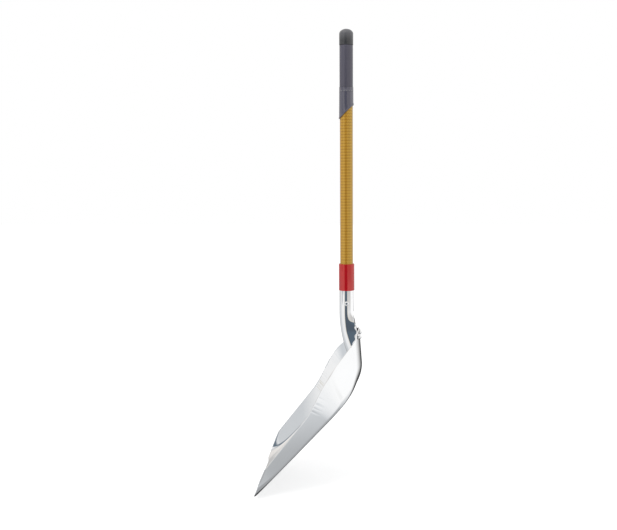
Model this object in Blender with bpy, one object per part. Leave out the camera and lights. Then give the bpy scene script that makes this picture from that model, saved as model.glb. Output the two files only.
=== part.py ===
# Scoop shovel: a pressed sheet metal pan on a riveted neck, with a tubular pole and a rubber grip.
# Lengths are in metres and angles in degrees. Everything is drawn in the pole's frame: the pole stands on
# the Z axis, height zero is the middle of the cutting edge, and the hollow side of the pan faces -X.
import math

import bmesh
import bpy
from mathutils import Matrix, Vector
from mathutils.bvhtree import BVHTree

# Clearances between pieces that touch
FIT_GAP = 0.0003
CURVED_FIT_GAP = 0.00045

# Whole object
TOTAL_LENGTH = 1.000
PAN_TILT = 46.9
REAR_RIM_SETBACK = 0.0281

# Pan: a flat floor with side walls, closed by a round rear wall
PAN_SHEET = 0.0016
FLOOR_HALF_WIDTH = 0.101
SIDE_LENGTH = 0.270
EDGE_BOW = 0.004
CORNER_RUN = 0.063
CORNER_START = 0.42
CORNER_POWER = 1.3
CORNER_END = 0.110
SIDE_BEND_RADIUS = 0.012
FRONT_BEND_RADIUS = 0.055
FRONT_BEND_RUN = 0.100
FRONT_NARROWING = 0.16
FRONT_WALL_ANGLE = 55.0
SIDE_WALL_ANGLE = 70.0
RIM_HEIGHT_FRONT = 0.0245
RIM_SLOPE = 0.089
RIM_SWEEP_LEAD = 0.070
RIM_SWEEP_TRAIL = 0.070
RIM_HEIGHT_REAR = 0.071
REAR_BLEND_LEAD = 0.040
REAR_PATH_RADIUS = 0.125
REAR_FLOOR_REACH = 0.032
REAR_BEND_RADIUS = 0.072
REAR_WALL_ANGLE = 47.3
FLOOR_BLEND_POWER = 1.7
EAR_RISE = 0.0107
EAR_MARGIN = 0.0010
EAR_RUNOUT = 0.016

# Pole and its plug
POLE_DIAMETER = 0.028
POLE_WALL = 0.00475
POLE_SEAT = 0.005
TENON_STEP = 0.00225
CORE_LENGTH = 0.120
CORE_RECESS = 0.002

# Socket and neck
NECK_SHEET = 0.0017
NECK_OPEN_LENGTH = 0.0395
SOCKET_LENGTH = 0.054
SEAM_HALF_GAP = 0.0004
UNROLL_LENGTH = 0.030
MOUTH_ROUNDING = 0.009
MOUTH_TAIL = 0.014
CHANNEL_FLANK = 0.0171
NECK_BEND_RADIUS = 0.280
WING_BEND_RADIUS = 0.0036
WING_TOP_GAP = 0.0012
WING_TOP_WIDTH = 0.004
WING_WIDTH = 0.0175
WING_END_WIDTH = 0.004
WING_SHOULDER = 0.17
NOSE_FLARE_SLOPE = 0.140
NOSE_FLARE_EASE = 0.008
NOSE_TAPER_DROP = 0.040
NOSE_TAPER_LENGTH = 0.060
NOSE_END_RADIUS = 0.007
RIDGE_END_HEIGHT = 0.0006

# Rivets
NECK_RIVET_DROP = 0.0135
NECK_RIVET_CLEARANCE = 0.0075
NECK_RIVET_SHANK = 0.0055
NECK_RIVET_HEAD = 0.0125
NECK_RIVET_DOME = 0.0072
NECK_RIVET_TAIL_HEAD = 0.0085
NECK_RIVET_TAIL_DOME = 0.0026
WASHER_DIAMETER = 0.0105
WASHER_THICKNESS = 0.0010
CROSS_RIVET_RISE = 0.018
CROSS_RIVET_SHANK = 0.0054
CROSS_RIVET_HEAD = 0.0102
CROSS_RIVET_DOME = 0.0030

# Collar
COLLAR_OVERLAP = 0.0078
COLLAR_LENGTH = 0.0585
COLLAR_WALL = 0.0007
COLLAR_EDGE = 0.0006

# Grip and cap
CAP_LENGTH = 0.0339
CAP_WALL = 0.00285
CAP_DOME = 0.0105
CAP_CROWN = 0.015
CAP_EDGE = 0.0006
SLEEVE_LENGTH = 0.0876
SLEEVE_WALL = 0.00235
SLEEVE_EDGE = 0.0010
CUFF_LENGTH = 0.0528
CUFF_TOP_WALL = 0.00085
CUFF_LOW_WALL = 0.0013
CUFF_LIP_WALL = 0.0018
CUFF_LIP_LENGTH = 0.0032
CUFF_SHOULDER = 0.0068
CUFF_EDGE = 0.0012
CUFF_CUT_ANGLE = 43.0

# Facets
PAN_CORNER_STEPS = 11
PAN_SIDE_STEPS = 8
PAN_REAR_STEPS = 16
PAN_EAR_STEPS = 8
PAN_EAR_ANGLE = 66.0
PAN_BEND_ROWS = 6
PAN_WALL_ROWS = 4
PAN_EDGE_COLUMNS = 12
NOSE_COLUMNS = 7
FLANK_COLUMNS = 5
SPREAD_COLUMNS = 4
WING_COLUMNS = 5
CHANNEL_ROWS = 16
WING_ROWS = 17
ROUND_SEGMENTS = 40
SMALL_SEGMENTS = 24
DOME_STEPS = 5


def smooth(share):
    share = min(max(share, 0.0), 1.0)
    return share * share * (3.0 - 2.0 * share)


def blend(first, last, share):
    return first + (last - first) * share


def clear_scene():
    for item in list(bpy.data.objects):
        bpy.data.objects.remove(item, do_unlink=True)


def make_material(name, color, roughness, metallic):
    material = bpy.data.materials.new(name)
    material.use_nodes = True
    shader = material.node_tree.nodes["Principled BSDF"]
    shader.inputs["Base Color"].default_value = (*color, 1.0)
    shader.inputs["Roughness"].default_value = roughness
    shader.inputs["Metallic"].default_value = metallic
    return material


def finish_object(name, bm, material, frame, sharp_angle=35.0):
    mesh = bpy.data.meshes.new(name)
    bm.to_mesh(mesh)
    bm.free()
    mesh.materials.append(material)
    mesh.shade_smooth()
    mesh.set_sharp_from_angle(angle=math.radians(sharp_angle))
    item = bpy.data.objects.new(name, mesh)
    bpy.context.scene.collection.objects.link(item)
    item.parent = frame
    return item


def thicken(item, thickness, side):
    sheet = item.modifiers.new("sheet", "SOLIDIFY")
    sheet.thickness = thickness
    sheet.offset = side
    sheet.use_even_offset = True
    return sheet


def cut(item, cutter):
    hole = item.modifiers.new("hole", "BOOLEAN")
    hole.operation = "DIFFERENCE"
    hole.object = cutter


def turn_profile(bm, profile, segments, place=None, lean=None):
    # Turns (radius, height) points round the Z axis. A profile that starts and ends on the axis makes a
    # solid, and any other is closed on itself. lean adds a height that depends on the point round the axis.
    on_axis = profile[0][0] == 0.0
    rings = []
    for radius, height in profile:
        if radius == 0.0:
            rings.append([bm.verts.new((0.0, 0.0, height))])
            continue
        ring = []
        for step in range(segments):
            angle = 2.0 * math.pi * step / segments
            x = radius * math.cos(angle)
            y = radius * math.sin(angle)
            extra = lean(x, height) if lean else 0.0
            ring.append(bm.verts.new((x, y, height + extra)))
        rings.append(ring)
    pairs = list(zip(rings, rings[1:]))
    if not on_axis:
        pairs.append((rings[-1], rings[0]))
    faces = []
    for upper, lower in pairs:
        for step in range(segments):
            after = (step + 1) % segments
            if len(upper) == 1:
                corners = (upper[0], lower[step], lower[after])
            elif len(lower) == 1:
                corners = (upper[step], lower[0], upper[after])
            else:
                corners = (upper[step], lower[step], lower[after], upper[after])
            faces.append(bm.faces.new(corners))
    bmesh.ops.recalc_face_normals(bm, faces=faces)
    if place:
        bmesh.ops.transform(bm, matrix=place, verts=[vertex for ring in rings for vertex in ring])


def dome_points(radius, base, rise, steps):
    # An elliptical dome from its rim to its top, which lies on the axis
    points = []
    for step in range(steps):
        angle = 0.5 * math.pi * step / steps
        points.append((radius * math.cos(angle), base + rise * math.sin(angle)))
    points.append((0.0, base + rise))
    return points


def rivet_profile(shank, head, dome, top, tail_head, tail_dome, bottom):
    # A rivet on the Z axis: its head stands on the height top, and its closed end hangs below bottom
    upper = dome_points(head / 2, top, dome, DOME_STEPS)
    upper.reverse()
    lower = [(radius, bottom - (height - bottom)) for radius, height in
             dome_points(tail_head / 2, bottom, tail_dome, DOME_STEPS)]
    return upper + [(shank / 2, top), (shank / 2, bottom)] + lower


# Heights and widths that pieces share


def socket_radius():
    return POLE_DIAMETER / 2 + FIT_GAP


def tenon_radius():
    return POLE_DIAMETER / 2 - TENON_STEP


def rivet_spread():
    return socket_radius() + WING_BEND_RADIUS + NECK_RIVET_CLEARANCE


def socket_end():
    return rim_top() + NECK_OPEN_LENGTH


def socket_top():
    return socket_end() + SOCKET_LENGTH


def pole_bottom():
    return socket_end() + POLE_SEAT


def cap_bottom():
    return TOTAL_LENGTH - CAP_LENGTH


def cuff_top():
    return cap_bottom() - SLEEVE_LENGTH


def tenon_bottom():
    return cuff_top() - CUFF_SHOULDER


def tenon_top():
    return TOTAL_LENGTH - CAP_CROWN


# Pan


def tilted(along, height):
    # From the floor's own axes, measured from the front corners, to a reach behind the middle of the
    # cutting edge and a height above it
    tilt = math.radians(PAN_TILT)
    reach = along + EDGE_BOW
    return reach * math.cos(tilt) - height * math.sin(tilt), reach * math.sin(tilt) + height * math.cos(tilt)


def rim_middle():
    # The highest point of the rear rim, which stands a fixed setback behind the pole's axis
    path_end = SIDE_LENGTH + REAR_PATH_RADIUS * math.pi / 2
    out, up, _ = wall_row(PAN_BEND_ROWS + PAN_WALL_ROWS, path_end, math.pi / 2)
    return tilted(SIDE_LENGTH + out, up)


def rim_top():
    return rim_middle()[1]


def pan_point(along, across, height):
    # From the floor's own axes to the pole's frame
    x, z = tilted(along, height)
    return Vector((x - rim_middle()[0] + REAR_RIM_SETBACK, across, z))


def wall_shape(path, turn):
    # Floor reach, bend radius, wall angle and rim height where the rim path has this length and turn
    path_end = SIDE_LENGTH + REAR_PATH_RADIUS * math.pi / 2
    blend_start = SIDE_LENGTH - REAR_BLEND_LEAD
    rear = smooth((path - blend_start) / (path_end - blend_start))
    reach = REAR_FLOOR_REACH + (FLOOR_HALF_WIDTH - REAR_FLOOR_REACH) * (1.0 - rear) ** FLOOR_BLEND_POWER
    # Towards the front the bend between the floor and the side wall gets wider
    side_radius = blend(SIDE_BEND_RADIUS, FRONT_BEND_RADIUS, max(0.0, 1.0 - path / FRONT_BEND_RUN) ** 3)
    reach -= FRONT_NARROWING * (side_radius - SIDE_BEND_RADIUS)
    radius = blend(side_radius, REAR_BEND_RADIUS, rear)
    side_angle = blend(FRONT_WALL_ANGLE, SIDE_WALL_ANGLE, min(path / SIDE_LENGTH, 1.0))
    angle = math.radians(blend(side_angle, REAR_WALL_ANGLE, rear))
    sweep = smooth((path - SIDE_LENGTH + RIM_SWEEP_LEAD) / (RIM_SWEEP_LEAD + RIM_SWEEP_TRAIL))
    rim = blend(RIM_HEIGHT_FRONT + RIM_SLOPE * path, RIM_HEIGHT_REAR, sweep)
    rim_reach = reach + radius * math.sin(angle) + (rim - radius * (1.0 - math.cos(angle))) / math.tan(angle)
    off_middle = rim_reach * math.cos(turn)
    ear = 1.0 - smooth((off_middle - rivet_spread() - EAR_MARGIN) / EAR_RUNOUT)
    rim += EAR_RISE * math.sin(angle) * ear
    return reach, radius, angle, rim


def wall_row(row, path, turn=0.0):
    # Distance out and height of one row of the wall, and how far up the wall it is
    reach, radius, angle, rim = wall_shape(path, turn)
    bend_length = radius * angle
    straight = (rim - radius * (1.0 - math.cos(angle))) / math.sin(angle)
    if row <= PAN_BEND_ROWS:
        part = angle * row / PAN_BEND_ROWS
        out = reach + radius * math.sin(part)
        up = radius * (1.0 - math.cos(part))
        girth = radius * part
    else:
        part = straight * (row - PAN_BEND_ROWS) / PAN_WALL_ROWS
        out = reach + radius * math.sin(angle) + part * math.cos(angle)
        up = radius * (1.0 - math.cos(angle)) + part * math.sin(angle)
        girth = bend_length + part
    return out, up, girth / (bend_length + straight)


def front_half_width():
    # Half the length of the cutting edge, which runs up into the walls as far as the cut of the corner
    rows = [wall_row(row, 0.0) for row in range(PAN_BEND_ROWS + PAN_WALL_ROWS + 1)]
    return next(out for out, _, girth in rows if girth >= CORNER_START)


def front_edge(across):
    # The cutting edge bows forward in the middle
    return -EDGE_BOW * max(0.0, 1.0 - (across / front_half_width()) ** 2)


def corner_cut(girth):
    # How far back the front end of a wall is cut at this share of its girth
    return CORNER_RUN * max(0.0, (girth - CORNER_START) / (1.0 - CORNER_START)) ** CORNER_POWER


def corner_start(row):
    # Where a row of the wall meets the cutting edge or, higher up, the cut of the corner
    out, _, girth = wall_row(row, 0.0)
    if girth <= CORNER_START:
        return front_edge(out)
    low, high = 0.0, CORNER_RUN
    for _ in range(24):
        along = (low + high) / 2
        if along < corner_cut(wall_row(row, along)[2]):
            low = along
        else:
            high = along
    return high


def pan_half_stations():
    # Rows of points from the floor to the rim, from a front corner round to the middle of the rear wall
    rows = range(PAN_BEND_ROWS + PAN_WALL_ROWS + 1)
    stations = []
    starts = [corner_start(row) for row in rows]
    for step in range(PAN_CORNER_STEPS):
        station = []
        for row in rows:
            along = blend(starts[row], CORNER_END, (step / PAN_CORNER_STEPS) ** 1.5)
            out, up, _ = wall_row(row, max(0.0, along))
            station.append((along, out, up))
        stations.append(station)
    for step in range(PAN_SIDE_STEPS):
        along = blend(CORNER_END, SIDE_LENGTH, step / PAN_SIDE_STEPS)
        stations.append([(along, *wall_row(row, along)[:2]) for row in rows])
    turns = [PAN_EAR_ANGLE * step / PAN_REAR_STEPS for step in range(PAN_REAR_STEPS)]
    turns += [blend(PAN_EAR_ANGLE, 90.0, step / PAN_EAR_STEPS) for step in range(PAN_EAR_STEPS + 1)]
    for degrees in turns:
        turn = math.radians(degrees)
        path = SIDE_LENGTH + REAR_PATH_RADIUS * turn
        station = []
        for row in rows:
            out, up, _ = wall_row(row, path, turn)
            station.append((SIDE_LENGTH + out * math.sin(turn), out * math.cos(turn), up))
        stations.append(station)
    return stations


def add_grid(bm, lines):
    for line, after in zip(lines, lines[1:]):
        for low in range(len(line) - 1):
            bm.faces.new((line[low], after[low], after[low + 1], line[low + 1]))


def make_pan(frame):
    bm = bmesh.new()
    half = pan_half_stations()
    near = [[bm.verts.new(pan_point(along, -out, up)) for along, out, up in station] for station in half]
    far = [[bm.verts.new(pan_point(along, out, up)) for along, out, up in station] for station in half[:-1]]
    add_grid(bm, near + far[::-1])
    # The floor is flat: a bowed strip at the front, strips across it, and the part inside the rear bend
    front = []
    reach = wall_shape(0.0, 0.0)[0]
    for column in range(1, PAN_EDGE_COLUMNS):
        across = blend(-reach, reach, column / PAN_EDGE_COLUMNS)
        front.append(bm.verts.new(pan_point(front_edge(across), across, 0.0)))
    bm.faces.new([near[0][0], *front, far[0][0], far[1][0], near[1][0]])
    rear_start = PAN_CORNER_STEPS + PAN_SIDE_STEPS
    for step in range(1, rear_start):
        bm.faces.new((near[step][0], far[step][0], far[step + 1][0], near[step + 1][0]))
    rear_line = [station[0] for station in near[rear_start:]]
    rear_line += [station[0] for station in far[rear_start:][::-1]]
    bm.faces.new(rear_line[::-1])
    steel = make_material("polished_sheet", (0.80, 0.81, 0.83), 0.12, 1.0)
    pan = finish_object("scoop_pan", bm, steel, frame)
    thicken(pan, PAN_SHEET, -1.0)
    return pan


class RearWall:
    # The inner face of the pan, as a neck that lies on it needs it
    def __init__(self, pan):
        depsgraph = bpy.context.evaluated_depsgraph_get()
        self.tree = BVHTree.FromObject(pan, depsgraph)

    def meet(self, across, height):
        start = Vector((-TOTAL_LENGTH, across, height))
        place, normal, _, _ = self.tree.ray_cast(start, Vector((1.0, 0.0, 0.0)))
        return place, normal

    def inside(self, across, height):
        return self.meet(across, height)[0].x


# Neck


def neck_front(height):
    # The inner face of the ridge bends back, away from the pole's axis, below the end of the socket
    drop = max(0.0, socket_end() - height)
    return -socket_radius() + NECK_BEND_RADIUS - math.sqrt(NECK_BEND_RADIUS ** 2 - drop ** 2)


def follow_arc(x, y, heading, length, turning, count):
    # Points after the first along a curve that starts at x, y and turns evenly over its length
    points = []
    step = length / count
    for index in range(count):
        middle = heading + turning * (index + 0.5) / count
        x += step * math.cos(middle)
        y += step * math.sin(middle)
        points.append((x, y))
    return points, heading + turning


def nose_half(front, radius, opening):
    points = []
    for column in range(NOSE_COLUMNS + 1):
        angle = opening * column / NOSE_COLUMNS
        points.append((front + radius * (1.0 - math.cos(angle)), radius * math.sin(angle)))
    return points


def socket_half():
    radius = socket_radius()
    points = nose_half(-radius, radius, math.pi / 2)
    seam = math.asin(SEAM_HALF_GAP / radius)
    count = FLANK_COLUMNS + SPREAD_COLUMNS
    for column in range(1, count + 1):
        angle = math.pi / 2 + (math.pi / 2 - seam) * column / count
        points.append((-radius * math.cos(angle), radius * math.sin(angle)))
    return points


def channel_half(height, wing_top, wall_x):
    # Below the socket the rear of the tube unrolls into flat flanks, whose edges then spread to the wall
    radius = socket_radius()
    front = neck_front(height)
    drop = socket_end() - height
    unrolled = min(drop / UNROLL_LENGTH, 1.0)
    flank_start = front + radius
    flat_height = socket_end() - UNROLL_LENGTH
    spread = max(0.0, (flat_height - height) / (flat_height - wing_top))
    bend = (1.0 - smooth(unrolled)) / radius
    mouth = min(drop / MOUTH_ROUNDING, 1.0)
    closed_tail = radius * (math.pi / 2) - SEAM_HALF_GAP
    tail = blend(MOUTH_TAIL, CHANNEL_FLANK, unrolled)
    tail += (closed_tail - MOUTH_TAIL) * (1.0 - math.sqrt(mouth * (2.0 - mouth)))
    spread_length = blend(tail / 3, WING_BEND_RADIUS * math.pi / 2, spread)
    spread_turn = blend(-bend * spread_length, math.pi / 2, spread)
    if spread > 0.0:
        start_end = neck_front(flat_height) + radius + CHANNEL_FLANK
        end = blend(start_end, wall_x, spread)
        flank = end - flank_start - spread_length * math.sin(spread_turn) / spread_turn
    else:
        flank = tail - spread_length
    points = nose_half(front, radius, math.pi / 2)
    flank_points, heading = follow_arc(*points[-1], 0.0, flank, -bend * flank, FLANK_COLUMNS)
    spread_points, _ = follow_arc(*flank_points[-1], heading, spread_length, spread_turn, SPREAD_COLUMNS)
    return points + flank_points + spread_points


def nose_radius(height):
    # Below the rim the ridge first widens, at a slope that sets in gently, and then narrows to its end
    drop = max(0.0, rim_top() - height)
    eased = min(drop, NOSE_FLARE_EASE)
    widened = socket_radius() + NOSE_FLARE_SLOPE * (drop - eased + eased ** 2 / (2.0 * NOSE_FLARE_EASE))
    taper = smooth((drop - NOSE_TAPER_DROP) / NOSE_TAPER_LENGTH)
    return blend(widened, NOSE_END_RADIUS, taper)


def ridge_depth(wall, height):
    # How far the ridge stands in front of the wings at this height
    edge = nose_radius(height) + WING_BEND_RADIUS
    return wall.inside(edge, height) - CURVED_FIT_GAP - neck_front(height)


def ridge_end(wall, wing_top):
    # The height at which the bent ridge has almost met the rear wall
    low, high = 0.0, wing_top
    for height_step in range(1, 400):
        height = wing_top * (1.0 - height_step / 400)
        if ridge_depth(wall, height) < RIDGE_END_HEIGHT:
            low = height
            break
        high = height
    for _ in range(24):
        middle = (low + high) / 2
        if ridge_depth(wall, middle) < RIDGE_END_HEIGHT:
            low = middle
        else:
            high = middle
    return high


def apron_half(height, share, wall):
    # The ridge stands on two wings that lie on the rear wall
    radius = nose_radius(height)
    depth = ridge_depth(wall, height)
    bends = radius + WING_BEND_RADIUS
    opening = math.acos(max(0.0, 1.0 - depth / bends))
    flank = max(0.0, depth - bends)
    points = nose_half(neck_front(height), radius, opening)
    x, y = points[-1]
    for column in range(1, FLANK_COLUMNS + 1):
        points.append((x + flank * column / FLANK_COLUMNS, y))
    flat_count = len(points)
    if flank == 0.0:
        # With no flat flank left, the nose's own arc gives the flank's columns
        points = []
        for column in range(NOSE_COLUMNS + FLANK_COLUMNS + 1):
            angle = opening * column / (NOSE_COLUMNS + FLANK_COLUMNS)
            points.append((neck_front(height) + radius * (1.0 - math.cos(angle)), radius * math.sin(angle)))
    x, y = points[flat_count - 1]
    for column in range(1, SPREAD_COLUMNS + 1):
        angle = opening * (1.0 - column / SPREAD_COLUMNS)
        points.append((x + WING_BEND_RADIUS * (math.cos(angle) - math.cos(opening)),
                       y + WING_BEND_RADIUS * (math.sin(opening) - math.sin(angle))))
    edge = points[-1][1]
    if share < WING_SHOULDER:
        width = blend(WING_TOP_WIDTH, WING_WIDTH, math.sin(0.5 * math.pi * share / WING_SHOULDER))
    else:
        fall = (share - WING_SHOULDER) / (1.0 - WING_SHOULDER)
        width = blend(WING_END_WIDTH, WING_WIDTH, math.cos(0.5 * math.pi * fall))
    for column in range(1, WING_COLUMNS + 1):
        across = edge + width * column / WING_COLUMNS
        points.append((wall.inside(across, height) - CURVED_FIT_GAP, across))
    return points


def rear_rim_height(across):
    # Height of the pan's rim at this distance from the middle, on the rear wall
    low, high = 0.0, math.pi / 2
    for _ in range(30):
        turn = (low + high) / 2
        out, up, _ = wall_row(PAN_BEND_ROWS + PAN_WALL_ROWS, SIDE_LENGTH + REAR_PATH_RADIUS * turn, turn)
        if out * math.cos(turn) > across:
            low = turn
        else:
            high = turn
    return tilted(SIDE_LENGTH + out * math.sin(turn), up)[1]


def eased_shares(count):
    # Shares from 0 to 1 that lie closer together at both ends
    return [(1.0 - math.cos(math.pi * step / count)) / 2 for step in range(count + 1)]


def neck_sections(wall):
    # Half outlines of the neck's inner face, from the top of the socket to the end of the ridge
    edge = socket_radius() + WING_BEND_RADIUS
    wing_top = rear_rim_height(edge + WING_TOP_WIDTH) - WING_TOP_GAP
    wall_x = wall.inside(edge, wing_top) - CURVED_FIT_GAP
    sections = [(socket_top(), socket_half())]
    for share in eased_shares(CHANNEL_ROWS)[:-1]:
        height = blend(socket_end(), wing_top, share)
        sections.append((height, channel_half(height, wing_top, wall_x)))
    bottom = ridge_end(wall, wing_top)
    for share in eased_shares(WING_ROWS):
        height = blend(wing_top, bottom, share)
        sections.append((height, apron_half(height, share, wall)))
    return sections


def make_neck(frame, wall):
    bm = bmesh.new()
    previous = None
    for height, half in neck_sections(wall):
        near = [bm.verts.new((x, -y, height)) for x, y in half[1:]]
        middle = bm.verts.new((half[0][0], 0.0, height))
        far = [bm.verts.new((x, y, height)) for x, y in half[1:]]
        section = near[::-1] + [middle] + far
        if previous:
            # Wider sections have wing columns that the ones above lack
            extra = (len(section) - len(previous)) // 2
            inner = section[extra:len(section) - extra]
            for column in range(len(previous) - 1):
                bm.faces.new((previous[column], previous[column + 1], inner[column + 1], inner[column]))
        previous = section
    steel = make_material("pressed_neck", (0.80, 0.81, 0.83), 0.10, 1.0)
    neck = finish_object("socket_neck", bm, steel, frame)
    thicken(neck, NECK_SHEET, 1.0)
    return neck


# Rivets


def rivet_places(wall):
    # Axes of the neck rivets, square to the rear wall: local Z points out of the back of the pan
    places = {}
    for side, across in (("left", -rivet_spread()), ("right", rivet_spread())):
        place, normal = wall.meet(across, rim_top() - NECK_RIVET_DROP)
        outward = normal if normal.x > 0.0 else -normal
        turn = outward.to_track_quat("Z", "Y").to_matrix().to_4x4()
        places[side] = Matrix.Translation(place) @ turn
    return places


def make_neck_rivet(name, frame, place, steel):
    bm = bmesh.new()
    top = PAN_SHEET + CURVED_FIT_GAP
    bottom = -(CURVED_FIT_GAP + NECK_SHEET + CURVED_FIT_GAP + WASHER_THICKNESS + FIT_GAP)
    profile = rivet_profile(NECK_RIVET_SHANK, NECK_RIVET_HEAD, NECK_RIVET_DOME, top,
                            NECK_RIVET_TAIL_HEAD, NECK_RIVET_TAIL_DOME, bottom)
    turn_profile(bm, profile, SMALL_SEGMENTS, place)
    return finish_object(name, bm, steel, frame)


def make_washer(name, frame, place, steel):
    bm = bmesh.new()
    hole = NECK_RIVET_SHANK / 2 + FIT_GAP
    top = -(CURVED_FIT_GAP + NECK_SHEET + CURVED_FIT_GAP)
    bottom = top - WASHER_THICKNESS
    profile = [(hole, top), (hole, bottom), (WASHER_DIAMETER / 2, bottom), (WASHER_DIAMETER / 2, top)]
    turn_profile(bm, profile, SMALL_SEGMENTS, place)
    return finish_object(name, bm, steel, frame)


def make_cutter(name, frame, diameter, length, place):
    bm = bmesh.new()
    radius = diameter / 2
    turn_profile(bm, [(0.0, length / 2), (radius, length / 2), (radius, -length / 2), (0.0, -length / 2)],
                 SMALL_SEGMENTS, place)
    mesh = bpy.data.meshes.new(name)
    bm.to_mesh(mesh)
    bm.free()
    cutter = bpy.data.objects.new(name, mesh)
    bpy.context.scene.collection.objects.link(cutter)
    cutter.parent = frame
    cutter.hide_render = True
    cutter.display_type = "WIRE"
    return cutter


def cross_rivet_place():
    height = socket_end() + CROSS_RIVET_RISE
    return Matrix.Translation((0.0, 0.0, height)) @ Matrix.Rotation(math.pi / 2, 4, "X")


def make_cross_rivet(frame):
    bm = bmesh.new()
    base = socket_radius() + NECK_SHEET + FIT_GAP
    profile = rivet_profile(CROSS_RIVET_SHANK, CROSS_RIVET_HEAD, CROSS_RIVET_DOME, base,
                            CROSS_RIVET_HEAD, CROSS_RIVET_DOME, -base)
    turn_profile(bm, profile, SMALL_SEGMENTS, cross_rivet_place())
    steel = make_material("cross_rivet_steel", (0.78, 0.78, 0.79), 0.18, 1.0)
    return finish_object("cross_rivet", bm, steel, frame)


# Pole, plug and collar


def make_pole(frame):
    bm = bmesh.new()
    outer = POLE_DIAMETER / 2
    tenon = tenon_radius()
    bore = outer - POLE_WALL
    profile = [(tenon, tenon_top()), (tenon, tenon_bottom()), (outer, tenon_bottom()), (outer, pole_bottom()),
               (bore, pole_bottom()), (bore, tenon_top())]
    turn_profile(bm, profile, ROUND_SEGMENTS)
    ochre = make_material("ochre_fibreglass", (0.50, 0.28, 0.07), 0.40, 0.0)
    return finish_object("pole", bm, ochre, frame)


def make_core(frame):
    bm = bmesh.new()
    radius = POLE_DIAMETER / 2 - POLE_WALL - FIT_GAP
    bottom = pole_bottom() + CORE_RECESS
    top = bottom + CORE_LENGTH
    turn_profile(bm, [(0.0, top), (radius, top), (radius, bottom), (0.0, bottom)], ROUND_SEGMENTS)
    wood = make_material("plug_wood", (0.45, 0.30, 0.17), 0.70, 0.0)
    return finish_object("pole_core", bm, wood, frame)


def make_collar(frame):
    bm = bmesh.new()
    bore = POLE_DIAMETER / 2 + FIT_GAP
    recess = socket_radius() + NECK_SHEET + FIT_GAP
    outer = recess + COLLAR_WALL
    shoulder = socket_top() + FIT_GAP
    bottom = socket_top() - COLLAR_OVERLAP
    top = bottom + COLLAR_LENGTH
    profile = [(bore, top), (outer - COLLAR_EDGE, top), (outer, top - COLLAR_EDGE), (outer, bottom),
               (recess, bottom), (recess, shoulder), (bore, shoulder)]
    turn_profile(bm, profile[::-1], ROUND_SEGMENTS)
    red = make_material("red_plastic", (0.55, 0.01, 0.02), 0.25, 0.0)
    return finish_object("ferrule_collar", bm, red, frame)


# Grip and cap


def make_sleeve(frame):
    bm = bmesh.new()
    bore = tenon_radius() + FIT_GAP
    outer = bore + SLEEVE_WALL
    top = cap_bottom() - FIT_GAP
    bottom = cuff_top() + FIT_GAP
    profile = [(bore, top), (outer - SLEEVE_EDGE, top), (outer, top - SLEEVE_EDGE),
               (outer, bottom + SLEEVE_EDGE), (outer - SLEEVE_EDGE, bottom), (bore, bottom)]
    turn_profile(bm, profile[::-1], ROUND_SEGMENTS)
    rubber = make_material("grip_rubber", (0.080, 0.070, 0.100), 0.60, 0.0)
    return finish_object("grip_sleeve", bm, rubber, frame)


def make_cuff(frame):
    # The lower end is cut on a slant, lowest on the hollow side of the pan, and ends in a rounded lip
    bm = bmesh.new()
    bore = POLE_DIAMETER / 2 + FIT_GAP
    upper_bore = tenon_radius() + FIT_GAP
    top_radius = bore + CUFF_TOP_WALL
    low_radius = bore + CUFF_LOW_WALL
    lip_radius = bore + CUFF_LIP_WALL
    top = cuff_top()
    shoulder = tenon_bottom() + FIT_GAP
    low = top - CUFF_LENGTH
    lip_top = low + CUFF_LIP_LENGTH
    slope = math.tan(math.radians(CUFF_CUT_ANGLE))
    straight_from = low + lip_radius * slope + CUFF_LIP_LENGTH + CUFF_EDGE

    def lean(x, height):
        return slope * x * (1.0 if height < straight_from else 0.0)

    profile = [(upper_bore, top), (top_radius - CUFF_EDGE, top), (top_radius, top - CUFF_EDGE),
               (blend(top_radius, low_radius, 0.3), straight_from), (low_radius, lip_top + CUFF_EDGE),
               (lip_radius, lip_top), (lip_radius, low + CUFF_EDGE), (lip_radius - CUFF_EDGE, low),
               (bore, low), (bore, shoulder), (upper_bore, shoulder)]
    turn_profile(bm, profile[::-1], ROUND_SEGMENTS, lean=lean)
    rubber = make_material("cuff_rubber", (0.085, 0.075, 0.105), 0.60, 0.0)
    return finish_object("grip_cuff", bm, rubber, frame)


def make_cap(frame):
    bm = bmesh.new()
    bore = tenon_radius() + FIT_GAP
    outer = bore + CAP_WALL
    bottom = cap_bottom()
    ceiling = tenon_top() + FIT_GAP
    profile = dome_points(outer, TOTAL_LENGTH - CAP_DOME, CAP_DOME, 2 * DOME_STEPS)
    profile.reverse()
    profile += [(outer, bottom + CAP_EDGE), (outer - CAP_EDGE, bottom), (bore, bottom),
                (bore, ceiling), (0.0, ceiling)]
    turn_profile(bm, profile, ROUND_SEGMENTS)
    black = make_material("black_cap", (0.030, 0.030, 0.034), 0.45, 0.0)
    return finish_object("end_cap", bm, black, frame)


def center_frame(frame, pieces):
    # Stands the object on the origin: the middle of its outer box, at the height of the cutting edge
    bpy.context.view_layer.update()
    depsgraph = bpy.context.evaluated_depsgraph_get()
    low = Vector((math.inf, math.inf, math.inf))
    high = -low
    for piece in pieces:
        shape = piece.evaluated_get(depsgraph).to_mesh()
        for vertex in shape.vertices:
            low = Vector(map(min, low, vertex.co))
            high = Vector(map(max, high, vertex.co))
    frame.location = (-(low.x + high.x) / 2, -(low.y + high.y) / 2, -low.z)


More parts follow.
